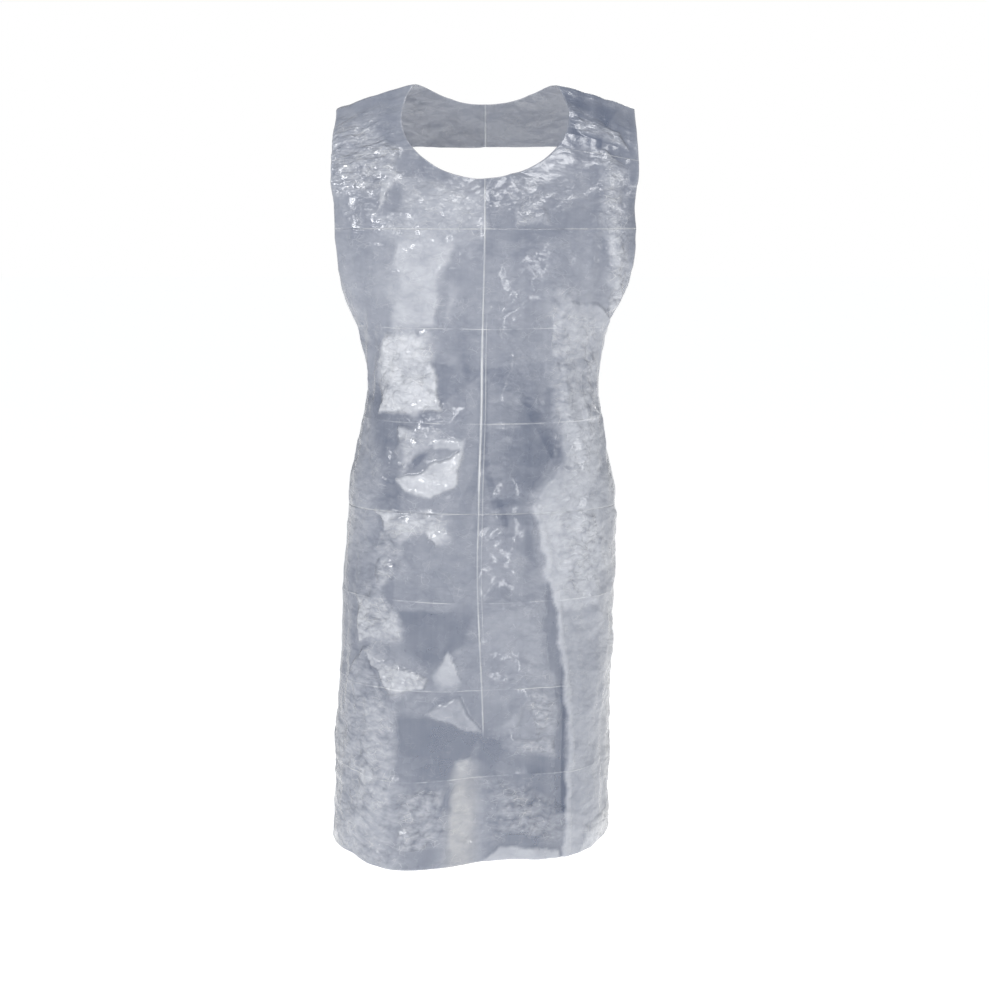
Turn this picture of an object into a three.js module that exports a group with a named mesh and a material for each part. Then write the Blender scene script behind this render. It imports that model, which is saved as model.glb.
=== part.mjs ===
// Disposable film bib apron, as it hangs on a wearer with its ties knotted behind.
// Millimetres, +Z up. The wearer faces -Y, so the wearer's left side is +X.
// The origin is the centre of the neck opening, level with the neck side of the shoulder ridge.
//
// The apron is one sheet of film. Every region of it is laid out on the flat sheet first, as a
// distance s from the centre line and a height h above the hem, and then wrapped round the wearer.
import * as THREE from 'three';

// The flat sheet. Its whole length, about 1168, follows from the skirt, the wearer and the neck opening.
const sheetWidth = 711;
const skirtLength = 630;
const bibWidth = 400;
const armholeSweep = 165;
const strapPull = 8;
const topEdgeWidth = 310;
const neckHoleWidth = 212;
const neckForward = 52.8;
const neckBandDepth = 72;
const skirtFold = 114;
const flapWidth = 115;

// The ties and their bow
const tieWidth = 25;
const gatheredTieWidth = 13;
const bowLoopLength = 105;
const bowLoopDepth = 16;
const bowLoopRootDepth = 4;
const bowLoopWidth = 18.85;
const bowLoopRootWidth = 9.1;
const bowLoopSplay = 60;
const bowLoopLean = 9;
const tailLength = 205;
const tailShare = 0.92;
const tailSpread = 16;
const tailRootWidth = 7;
const tailEndWidth = 19;
const tailLean = 3;
const knotSize = [22, 15, 19];
const knotStandoff = 1;

// The wearer: half width and half depth of the body under the film, and the film's way over it
const hemHalf = [185, 125];
const hipHalf = [175, 120];
const waistHalf = [147, 106];
const chestHalf = [205, 80];
const shoulderReach = 320;
const shoulderDrop = 37;
const shoulderDropReach = 190;
const shoulderRise = 11;
const shoulderBehind = 75;
const hemShift = -23;
const hipShift = -8;
const waistShift = -4;
const skirtFront = -118;
const waistFront = -108;
const chestFront = -122;
const waistBelowShoulder = 362;
const chestBelowShoulder = 176;
const chestOverrun = 40;
const chestToRidgeBack = [0.3, 0.72];
const chestToRidgeUp = [0.4, 0.8];
const ridgeBend = 30;
const backSlope = 48;

// How the film is drawn
const filmThickness = 1.0;
const seamGap = 0.3;
const facetLength = 21;
const facetStretch = 1.6;
const neckBandFacet = 14;
const neckCrowding = 1.7;
const girthSteps = 240;
const stripColumns = 2;
const tieColumns = 4;
const loopRows = 36;
const tailRows = 14;
const knotDetail = 3;

const filmMaterial = new THREE.MeshStandardMaterial({ color: 0xa9b0bd, roughness: 0.32, metalness: 0 });
const tieMaterial = new THREE.MeshStandardMaterial({ color: 0xb9bfca, roughness: 0.36, metalness: 0 });

const flapTop = 4 * skirtFold;
const sheetHalf = sheetWidth / 2;
const bibHalf = bibWidth / 2;
const neckRadius = neckHoleWidth / 2;
const flapLine = sheetHalf - flapWidth;
const tieHeight = skirtLength - tieWidth / 2;

const radians = THREE.MathUtils.degToRad;
const mix = THREE.MathUtils.lerp;

function ease(t) {
  return THREE.MathUtils.smoothstep(t, 0, 1);
}

// The centre line of the film, seen from the side: up the front, over the shoulders, down the back.
function makeProfile() {
  const hemHeight = -waistBelowShoulder - skirtLength;
  const front = [
    [skirtFront, hemHeight],
    [skirtFront - 1, hemHeight + flapTop / 2],
    [skirtFront - 2, hemHeight + flapTop],
    [waistFront, -waistBelowShoulder],
    [chestFront, -chestBelowShoulder],
    ...chestToRidgeBack.map((back, i) => [
      mix(chestFront, 0, back),
      mix(-chestBelowShoulder, shoulderRise, chestToRidgeUp[i]),
    ]),
    [0, shoulderRise],
  ];
  const points = front.map(([y, z]) => new THREE.Vector3(0, y, z));
  const curve = new THREE.CatmullRomCurve3(points, false, 'centripetal');
  curve.arcLengthDivisions = 1500;
  return curve;
}

const profile = makeProfile();
const ridgeHeight = profile.getLength();
const chestHeight = ridgeHeight - chestBelowShoulder - chestOverrun;
const neckCentre = ridgeHeight - neckForward;
const neckBottom = neckCentre - neckRadius;
const sheetLength = neckCentre + neckRadius + neckBandDepth;

// A point of the centre line at height h above the hem. Behind the ridge the film bends down
// over a short arc and then runs straight.
function centreLine(h) {
  if (h <= ridgeHeight) {
    return profile.getPointAt(Math.max(h, 0) / ridgeHeight);
  }
  const past = h - ridgeHeight;
  const turned = radians(backSlope) * Math.min(past / ridgeBend, 1);
  const radius = ridgeBend / radians(backSlope);
  const straight = Math.max(past - ridgeBend, 0);
  const y = radius * Math.sin(turned) + straight * Math.cos(turned);
  const z = shoulderRise - radius * (1 - Math.cos(turned)) - straight * Math.sin(turned);
  return new THREE.Vector3(0, y, z);
}

// The body's half width, half depth and sideways shift under the film at height h.
const sections = [
  [0, ...hemHalf, hemShift],
  [flapTop, ...hipHalf, hipShift],
  [tieHeight, ...waistHalf, waistShift],
  [chestHeight, ...chestHalf, 0],
  [ridgeHeight, shoulderReach, 0, 0],
];

function sectionAt(h) {
  const last = sections.length - 1;
  if (h >= sections[last][0]) {
    return sections[last].slice(1);
  }
  const next = Math.max(sections.findIndex((section) => section[0] > h), 1);
  const [low, high] = [sections[next - 1], sections[next]];
  const t = (h - low[0]) / (high[0] - low[0]);
  const share = next === 1 ? t : ease(t);
  return [1, 2, 3].map((part) => mix(low[part], high[part], share));
}

// The length of each small step of half an ellipse, from the front centre to the back centre.
function girthPieces(halfWidth, halfDepth) {
  const step = Math.PI / girthSteps;
  return Array.from({ length: girthSteps }, (_, i) => {
    const middle = (i + 0.5) * step;
    return Math.hypot(halfWidth * Math.cos(middle), halfDepth * Math.sin(middle)) * step;
  });
}

// The angle round an ellipse at which the film has run the distance s from the front centre.
function angleAt(s, halfWidth, halfDepth) {
  const pieces = girthPieces(halfWidth, halfDepth);
  let left = Math.abs(s);
  let i = 0;
  while (i < girthSteps && left > pieces[i]) {
    left -= pieces[i];
    i += 1;
  }
  const part = i < girthSteps ? left / pieces[i] : 0;
  return Math.sign(s) * (i + part) * Math.PI / girthSteps;
}

// How far the film has sloped into the shoulders at height h: all at the ridge, none at the chest.
function shoulderShare(h) {
  if (h < ridgeHeight) {
    return ease((h - chestHeight) / (ridgeHeight - chestHeight));
  }
  return 1 - ease((h - ridgeHeight) / shoulderBehind);
}

// Where the sheet's point (s, h) lies on the wearer.
function filmPoint(s, h) {
  const [halfWidth, halfDepth, shift] = sectionAt(h);
  const angle = angleAt(s, halfWidth, halfDepth);
  const centre = centreLine(h);
  const x = halfWidth * Math.sin(angle);
  const drop = shoulderDrop * shoulderShare(h) * (x / shoulderDropReach) ** 2;
  return new THREE.Vector3(shift + x, centre.y + halfDepth * (1 - Math.cos(angle)), centre.z - drop);
}

// The point and the outward normal of the film at (s, h).
function filmSpot(s, h) {
  const probe = 0.5;
  const across = filmPoint(s + probe, h).sub(filmPoint(s - probe, h));
  const up = filmPoint(s, h + probe).sub(filmPoint(s, h - probe));
  return { point: filmPoint(s, h), normal: across.cross(up).normalize() };
}

// A closed solid of film thickness over a grid of spots. A wrapped one joins its last row to its first.
function filmSolid(rows, columns, spotAt, wrapped = false) {
  const ringRows = wrapped ? rows : rows + 1;
  const layer = ringRows * (columns + 1);
  const positions = [];
  const faces = [];
  for (const side of [1, -1]) {
    for (let i = 0; i < ringRows; i++) {
      for (let j = 0; j <= columns; j++) {
        const { point, normal } = spotAt(i / rows, j / columns);
        positions.push(...point.clone().addScaledVector(normal, side * filmThickness / 2));
      }
    }
  }
  const corner = (side, i, j) => side * layer + (i % ringRows) * (columns + 1) + j;
  const quad = (a, b, c, d) => faces.push(a, b, c, a, c, d);
  for (let i = 0; i < rows; i++) {
    for (let j = 0; j < columns; j++) {
      quad(corner(0, i, j), corner(0, i, j + 1), corner(0, i + 1, j + 1), corner(0, i + 1, j));
      quad(corner(1, i, j), corner(1, i + 1, j), corner(1, i + 1, j + 1), corner(1, i, j + 1));
    }
    quad(corner(0, i, 0), corner(0, i + 1, 0), corner(1, i + 1, 0), corner(1, i, 0));
    quad(corner(0, i, columns), corner(1, i, columns), corner(1, i + 1, columns), corner(0, i + 1, columns));
  }
  for (let j = 0; j < columns && !wrapped; j++) {
    quad(corner(0, 0, j), corner(1, 0, j), corner(1, 0, j + 1), corner(0, 0, j + 1));
    quad(corner(0, rows, j), corner(0, rows, j + 1), corner(1, rows, j + 1), corner(1, rows, j));
  }
  const geometry = new THREE.BufferGeometry();
  geometry.setAttribute('position', new THREE.Float32BufferAttribute(positions, 3));
  geometry.setIndex(faces);
  geometry.computeVertexNormals();
  return geometry;
}

const apron = new THREE.Group();
apron.name = 'apron';

function addPiece(name, geometry, material) {
  const mesh = new THREE.Mesh(geometry, material);
  mesh.name = name;
  apron.add(mesh);
}

// A region of the sheet between the heights low and high and the edges from(h) and to(h).
// Edges that are shared with a neighbour are drawn back by half the seam gap.
function addRegion(name, low, high, from, to, material = filmMaterial, stretch = (t) => t) {
  const middle = mix(low, high, 0.5);
  const rows = Math.max(2, Math.round((high - low) / (facetStretch * facetLength)));
  const widest = Math.max(to(low) - from(low), to(middle) - from(middle), to(high) - from(high));
  const columns = Math.max(2, Math.round(widest / facetLength));
  const spotAt = (u, v) => {
    const h = mix(low, high, stretch(u));
    return filmSpot(mix(from(h), to(h), v), h);
  };
  addPiece(name, filmSolid(rows, columns, spotAt), material);
}

// The sheet's outer edge: straight at the skirt, swept in at the armhole, straight beside the bib
// and tapered towards the top edge behind the neck.
function sheetEdge(h) {
  if (h <= skirtLength) {
    return sheetHalf;
  }
  const sweepTop = skirtLength + armholeSweep;
  if (h <= sweepTop) {
    const t = (h - skirtLength) / armholeSweep;
    return bibHalf + (sheetHalf - bibHalf) * (1 - Math.sqrt(1 - (1 - t) ** 2));
  }
  if (h <= ridgeHeight) {
    return bibHalf - strapPull * ease((h - sweepTop) / (ridgeHeight - sweepTop));
  }
  return mix(bibHalf - strapPull, topEdgeWidth / 2, ease((h - ridgeHeight) / (sheetLength - ridgeHeight)));
}

function neckEdge(h) {
  const rise = h - neckCentre;
  return Math.sqrt(Math.max(neckRadius ** 2 - rise ** 2, 0));
}

const half = seamGap / 2;
const sides = [
  { side: 'right', sign: -1 },
  { side: 'left', sign: 1 },
];

// A pair of regions, one on each side. inner and outer are distances from the centre line.
function addPair(name, low, high, inner, outer, material, stretch) {
  for (const { side, sign } of sides) {
    const from = sign > 0 ? inner : (h) => -outer(h);
    const to = sign > 0 ? outer : (h) => -inner(h);
    addRegion(`${side}_${name}`, low, high, from, to, material, stretch);
  }
}

function addBib() {
  const top = neckBottom - half;
  const stretch = (t) => 1 - Math.cos(t * Math.PI / 2);
  addRegion('bib_panel', skirtLength + half, top, (h) => -sheetEdge(h), sheetEdge, filmMaterial, stretch);
}

function addShoulders() {
  const inner = (h) => Math.max(neckEdge(h), half);
  const dense = (t) => t ** neckCrowding;
  addPair('shoulder_strap', neckBottom + half, ridgeHeight - half, inner, sheetEdge, filmMaterial, dense);
}

// The part of the neck loop that lies behind the ridge and is lifted over the head.
function addNeckLoop() {
  const bandHalf = neckRadius * Math.SQRT1_2;
  const inner = (h) => Math.max(neckEdge(h), bandHalf + half);
  addPair('rear_strap', ridgeHeight + half, sheetLength, inner, sheetEdge, filmMaterial);
  const columns = Math.round(2 * bandHalf / neckBandFacet);
  const spotAt = (u, v) => {
    const s = mix(-bandHalf + half, bandHalf - half, v);
    const lower = neckCentre + Math.sqrt(neckRadius ** 2 - s ** 2);
    return filmSpot(s, mix(lower, sheetLength, u));
  };
  addPiece('rear_neck_band', filmSolid(stripColumns, columns, spotAt), filmMaterial);
}

function addSkirt() {
  const full = () => sheetHalf;
  const line = () => flapLine;
  addRegion('skirt_yoke', flapTop + half, skirtLength - half, (h) => -full(h), full);
  addRegion('skirt_front', 0, flapTop - half, (h) => -line(h), line);
  addPair('skirt_flap', 0, flapTop - half, () => flapLine + seamGap, full, filmMaterial);
}

// Half the way round the wearer at height h, from the front centre to the back.
function halfGirth(h) {
  const [halfWidth, halfDepth] = sectionAt(h);
  return girthPieces(halfWidth, halfDepth).reduce((run, piece) => run + piece, 0);
}

const knotPlace = filmPoint(halfGirth(tieHeight), tieHeight);
knotPlace.y += knotStandoff;

// Each tie runs from the sheet's waist corner to the knot, gathering as it goes.
function addTies() {
  const start = sheetHalf + seamGap;
  const clear = knotSize[0] / 2 + seamGap;
  for (const { side, sign } of sides) {
    const spotAt = (u, v) => {
      const along = sign > 0 ? v : 1 - v;
      const width = mix(tieWidth, gatheredTieWidth, ease(along));
      const h = tieHeight + (u - 0.5) * width;
      return filmSpot(sign * mix(start, halfGirth(h) - clear, along), h);
    };
    addPiece(`${side}_waist_tie`, filmSolid(stripColumns, tieColumns, spotAt), tieMaterial);
  }
}

function addKnot() {
  const knot = new THREE.IcosahedronGeometry(0.5, knotDetail);
  knot.scale(...knotSize);
  knot.translate(...knotPlace);
  addPiece('bow_knot', knot, tieMaterial);
}

// The point of the knot whose outward normal is the given direction.
function knotSurface(direction) {
  const radii = new THREE.Vector3(...knotSize).multiplyScalar(0.5);
  const scaled = direction.clone().multiply(radii);
  return scaled.clone().normalize().multiply(radii).add(knotPlace);
}

// A bow loop leaves the knot's side, runs out and down, and comes back: a thin closed band.
function addBowLoops() {
  const splay = radians(bowLoopSplay);
  const lean = Math.tan(radians(bowLoopLean));
  const reach = bowLoopLength - filmThickness - seamGap;
  for (const { side, sign } of sides) {
    const along = new THREE.Vector3(sign * Math.sin(splay), lean, -Math.cos(splay)).normalize();
    const width = new THREE.Vector3(Math.cos(splay), 0, sign * Math.sin(splay));
    const out = new THREE.Vector3().crossVectors(width, along).normalize();
    const root = knotSurface(along).addScaledVector(along, seamGap + filmThickness);
    const farness = (u) => (1 - Math.cos(u * 2 * Math.PI)) / 2;
    const loopPoint = (u) => {
      const far = farness(u);
      const swell = Math.sin(u * 2 * Math.PI) * mix(bowLoopRootDepth, bowLoopDepth, far) / 2;
      return root.clone().addScaledVector(along, far * reach).addScaledVector(out, swell);
    };
    const spotAt = (u, v) => {
      const run = loopPoint(u + 0.001).sub(loopPoint(u - 0.001)).normalize();
      const normal = new THREE.Vector3().crossVectors(width, run).normalize();
      const breadth = mix(bowLoopRootWidth, bowLoopWidth, farness(u));
      return { point: loopPoint(u).addScaledVector(width, (v - 0.5) * breadth), normal };
    };
    addPiece(`${side}_bow_loop`, filmSolid(loopRows, stripColumns, spotAt, true), tieMaterial);
  }
}

// The tails hang from under the knot, close together as far as the loops reach and then apart.
function addTails() {
  const lean = Math.tan(radians(tailLean));
  const normal = new THREE.Vector3(0, -1, -lean).normalize();
  const top = knotPlace.z - knotSize[2] / 2 - seamGap;
  for (const { side, sign } of sides) {
    const length = sign > 0 ? tailLength : tailLength * tailShare;
    const spotAt = (u, v) => {
      const fall = (1 - u) * length;
      const apart = ease((fall - bowLoopLength) / (length - bowLoopLength));
      const breadth = mix(tailRootWidth, tailEndWidth, apart);
      const inner = seamGap + tailSpread * apart;
      const x = knotPlace.x + sign * (inner + (sign > 0 ? v : 1 - v) * breadth);
      return { point: new THREE.Vector3(x, knotPlace.y + fall * lean, top - fall), normal };
    };
    addPiece(`${side}_tie_tail`, filmSolid(tailRows, stripColumns, spotAt), tieMaterial);
  }
}

addBib();
addShoulders();
addNeckLoop();
addSkirt();
addTies();
addKnot();
addBowLoops();
addTails();

export default apron;
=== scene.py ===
"""A disposable film bib apron, hanging as worn with its ties in a bow behind."""
import math

import bmesh
import bpy
import numpy as np
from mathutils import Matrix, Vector, noise


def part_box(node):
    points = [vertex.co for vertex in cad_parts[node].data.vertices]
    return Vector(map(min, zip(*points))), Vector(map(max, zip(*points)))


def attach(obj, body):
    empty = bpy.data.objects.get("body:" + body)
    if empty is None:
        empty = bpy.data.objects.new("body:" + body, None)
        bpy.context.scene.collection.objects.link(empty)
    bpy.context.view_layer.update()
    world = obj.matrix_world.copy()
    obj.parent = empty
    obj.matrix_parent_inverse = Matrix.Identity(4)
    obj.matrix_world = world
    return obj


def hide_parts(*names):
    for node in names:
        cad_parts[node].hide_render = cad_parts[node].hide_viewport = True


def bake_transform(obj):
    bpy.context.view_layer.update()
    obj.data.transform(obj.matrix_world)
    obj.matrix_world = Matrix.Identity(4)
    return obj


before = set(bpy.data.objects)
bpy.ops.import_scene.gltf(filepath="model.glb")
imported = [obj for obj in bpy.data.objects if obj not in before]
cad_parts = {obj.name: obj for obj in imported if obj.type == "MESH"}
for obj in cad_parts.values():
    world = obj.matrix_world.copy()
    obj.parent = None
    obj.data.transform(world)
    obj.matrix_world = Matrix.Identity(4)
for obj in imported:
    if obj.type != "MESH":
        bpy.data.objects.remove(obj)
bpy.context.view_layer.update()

# The cut of the flat sheet, in metres. A place on it is s, the distance from its centre line
# towards the wearer's left, and h, the height above its hem.
SKIRT_LENGTH = 0.630
SHEET_HALF = 0.3555
BIB_HALF = 0.200
STRAP_PULL = 0.008
ARMHOLE_SWEEP = 0.165
TOP_EDGE_HALF = 0.155
NECK_RADIUS = 0.106
NECK_FORWARD = 0.0528
NECK_BAND = 0.072
FLAP_LINE = SHEET_HALF - 0.115
FOLD = 0.114
FLAP_TOP = 4 * FOLD
FOLD_HEIGHTS = [FOLD, 2 * FOLD, 3 * FOLD, 4 * FOLD, 5 * FOLD, 0.690, 0.815, 0.933, 1.052]
BIB_TOP = FOLD_HEIGHTS[6]
TIE_WIDTH = 0.025
FILM = 0.0003

# The wearer under the film: half width, half depth and sideways shift at each station
HEM = (0.185, 0.125, -0.023)
HIP = (0.175, 0.120, -0.008)
WAIST = (0.147, 0.106, -0.004)
CHEST = (0.205, 0.080, 0)
SHOULDER = (0.320, 0, 0)
SHOULDER_DROP, SHOULDER_DROP_REACH = 0.037, 0.190
SHOULDER_RISE, SHOULDER_BEHIND = 0.011, 0.075
SKIRT_FRONT, WAIST_FRONT, CHEST_FRONT = -0.118, -0.108, -0.122
WAIST_Z, CHEST_Z = -0.362, -0.176
CHEST_OVERRUN = 0.040
BACK_SLOPE = math.radians(48)
RIDGE_BEND = 0.030
TIE_HEIGHT = SKIRT_LENGTH - TIE_WIDTH / 2

# Grid of each film piece: columns and rows of small squares
BIB_GRID = (220, 196)
SKIRT_GRID = (216, 206)
YOKE_GRID = (600, 62)
SIDE_GRID = (60, 300)
TIE_GRID = (90, 40)
LOOP_GRID = (150, 30)
TAIL_GRID = (72, 140)

DEEP = (0.093, 0.118, 0.184)
# the pale film tone, which the painted highlight patches and painted glints also lighten towards
MILKY = (0.640, 0.657, 0.706)
MILKY_SIDE = (0.680, 0.674, 0.662)
# whitened film on the creases, also the colour of the painted highlights on them and of the painted glints on
# the crinkle ridges
CREASE_AND_GLINT_WHITE = (0.86, 0.87, 0.89)
FLOOR_Z = -1.47


def ease(t):
    t = np.clip(t, 0, 1)
    return t * t * (3 - 2 * t)


def mix(a, b, t):
    return a + (b - a) * t


# ---------------------------------------------------------------- how the sheet lies on the wearer

def curve_through(points, steps=300):
    """A centripetal Catmull-Rom curve through the points, as many close points on it."""
    points = np.array(points, float)
    padded = np.vstack([2 * points[0] - points[1], points, 2 * points[-1] - points[-2]])
    t = np.linspace(0, 1, steps, endpoint=False)[:, None]
    runs = []
    for a, b, c, d in zip(padded, padded[1:], padded[2:], padded[3:]):
        gaps = [np.linalg.norm(q - p) ** 0.5 for p, q in ((a, b), (b, c), (c, d))]
        start = ((b - a) / gaps[0] - (c - a) / (gaps[0] + gaps[1]) + (c - b) / gaps[1]) * gaps[1]
        end = ((c - b) / gaps[1] - (d - b) / (gaps[1] + gaps[2]) + (d - c) / gaps[2]) * gaps[1]
        runs.append(b + start * t + (3 * (c - b) - 2 * start - end) * t ** 2
                    + (2 * (b - c) + start + end) * t ** 3)
    return np.vstack(runs + [points[-1:]])


def front_line():
    """The centre line of the film up the front to the shoulder ridge: its length and its (y, z)."""
    hem_z = WAIST_Z - SKIRT_LENGTH
    line = curve_through([
        (SKIRT_FRONT, hem_z),
        (SKIRT_FRONT - 0.001, hem_z + FLAP_TOP / 2),
        (SKIRT_FRONT - 0.002, hem_z + FLAP_TOP),
        (WAIST_FRONT, WAIST_Z),
        (CHEST_FRONT, CHEST_Z),
        (mix(CHEST_FRONT, 0, 0.3), mix(CHEST_Z, SHOULDER_RISE, 0.4)),
        (mix(CHEST_FRONT, 0, 0.72), mix(CHEST_Z, SHOULDER_RISE, 0.8)),
        (0, SHOULDER_RISE),
    ])
    run = np.concatenate([[0], np.cumsum(np.linalg.norm(np.diff(line, axis=0), axis=1))])
    return run, line


LINE_RUN, LINE = front_line()
RIDGE = LINE_RUN[-1]
CHEST_HEIGHT = RIDGE + CHEST_Z - CHEST_OVERRUN
NECK_CENTRE = RIDGE - NECK_FORWARD
SHEET_LENGTH = NECK_CENTRE + NECK_RADIUS + NECK_BAND


def centre_line(h):
    """(y, z) of the centre line at each height: up the front, then bent down behind the ridge."""
    past = np.clip(h - RIDGE, 0, None)
    turned = BACK_SLOPE * np.clip(past / RIDGE_BEND, 0, 1)
    radius = RIDGE_BEND / BACK_SLOPE
    straight = np.clip(past - RIDGE_BEND, 0, None)
    y = np.interp(h, LINE_RUN, LINE[:, 0]) + radius * np.sin(turned) + straight * math.cos(BACK_SLOPE)
    z = np.interp(h, LINE_RUN, LINE[:, 1]) - radius * (1 - np.cos(turned)) - straight * math.sin(BACK_SLOPE)
    return y, z


def section(h):
    """Half width, half depth and shift of the wearer under the film at each height."""
    heights = np.array([0, FLAP_TOP, TIE_HEIGHT, CHEST_HEIGHT, RIDGE])
    stations = np.array([HEM, HIP, WAIST, CHEST, SHOULDER])
    upper = np.clip(np.searchsorted(heights, h, side="right"), 1, 4)
    t = np.clip((h - heights[upper - 1]) / (heights[upper] - heights[upper - 1]), 0, 1)
    t = np.where(upper == 1, t, ease(t))[:, None]
    return mix(stations[upper - 1], stations[upper], t).T


def girth_runs(half_width, half_depth, steps=180):
    """How far the film has run round each ellipse by the end of each small step from the front."""
    middles = (np.arange(steps) + 0.5) * math.pi / steps
    pieces = np.hypot(half_width[:, None] * np.cos(middles), half_depth[:, None] * np.sin(middles))
    return np.cumsum(pieces, axis=1) * math.pi / steps


def angle_round(s, half_width, half_depth):
    """The angle round each ellipse at which the film has run the distance s from the front."""
    runs = girth_runs(half_width, half_depth)
    steps = runs.shape[1]
    step = np.clip((runs < np.abs(s)[:, None]).sum(axis=1), 0, steps - 1)
    row = np.arange(len(s))
    before = np.where(step > 0, runs[row, step - 1], 0)
    share = (np.abs(s) - before) / np.maximum(runs[row, step] - before, 1e-9)
    return np.sign(s) * (step + np.clip(share, 0, 1)) * math.pi / steps


def half_girth(h):
    half_width, half_depth, _ = section(h)
    return girth_runs(half_width, half_depth)[:, -1]


def laid(s, h):
    """Where the sheet's places (s, h) lie on the wearer, with no fold or wrinkle."""
    half_width, half_depth, shift = section(h)
    angle = angle_round(s, half_width, half_depth)
    y, z = centre_line(h)
    x = half_width * np.sin(angle)
    rising = ease((h - CHEST_HEIGHT) / (RIDGE - CHEST_HEIGHT))
    share = np.where(h < RIDGE, rising, 1 - ease((h - RIDGE) / SHOULDER_BEHIND))
    drop = SHOULDER_DROP * share * (x / SHOULDER_DROP_REACH) ** 2
    return np.stack([shift + x, y + half_depth * (1 - np.cos(angle)), z - drop], axis=1)


def laid_normals(s, h, probe=0.002):
    across = laid(s + probe, h) - laid(s - probe, h)
    up = laid(s, h + probe) - laid(s, h - probe)
    normal = np.cross(across, up)
    return normal / np.linalg.norm(normal, axis=1)[:, None]


def sheet_edge(h):
    """Half the sheet's width at each height: skirt, armhole sweep, bib, then the taper behind the neck."""
    t = np.clip((h - SKIRT_LENGTH) / ARMHOLE_SWEEP, 0, 1)
    sweep = BIB_HALF + (SHEET_HALF - BIB_HALF) * (1 - np.sqrt(np.clip(1 - (1 - t) ** 2, 0, 1)))
    sweep = np.where(h <= SKIRT_LENGTH, SHEET_HALF, sweep)
    top_of_sweep = SKIRT_LENGTH + ARMHOLE_SWEEP
    bib = BIB_HALF - STRAP_PULL * ease((h - top_of_sweep) / (RIDGE - top_of_sweep))
    rear = mix(BIB_HALF - STRAP_PULL, TOP_EDGE_HALF, ease((h - RIDGE) / (SHEET_LENGTH - RIDGE)))
    return np.where(h <= top_of_sweep, sweep, np.where(h <= RIDGE, bib, rear))


# ---------------------------------------------------------------- folds, creases and crumples

# The standing fold down the wearer's left of the skirt, from its top to the hem
STANDING_FOLD = [(0.07, 0.465), (0.105, 0.33), (0.12, 0.24), (0.13, 0.15), (0.13, 0)]
STANDING_FOLD_WIDTH = 0.008
BEHIND_FOLD = [(s + STANDING_FOLD_WIDTH, h) for s, h in reversed(STANDING_FOLD)]
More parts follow.
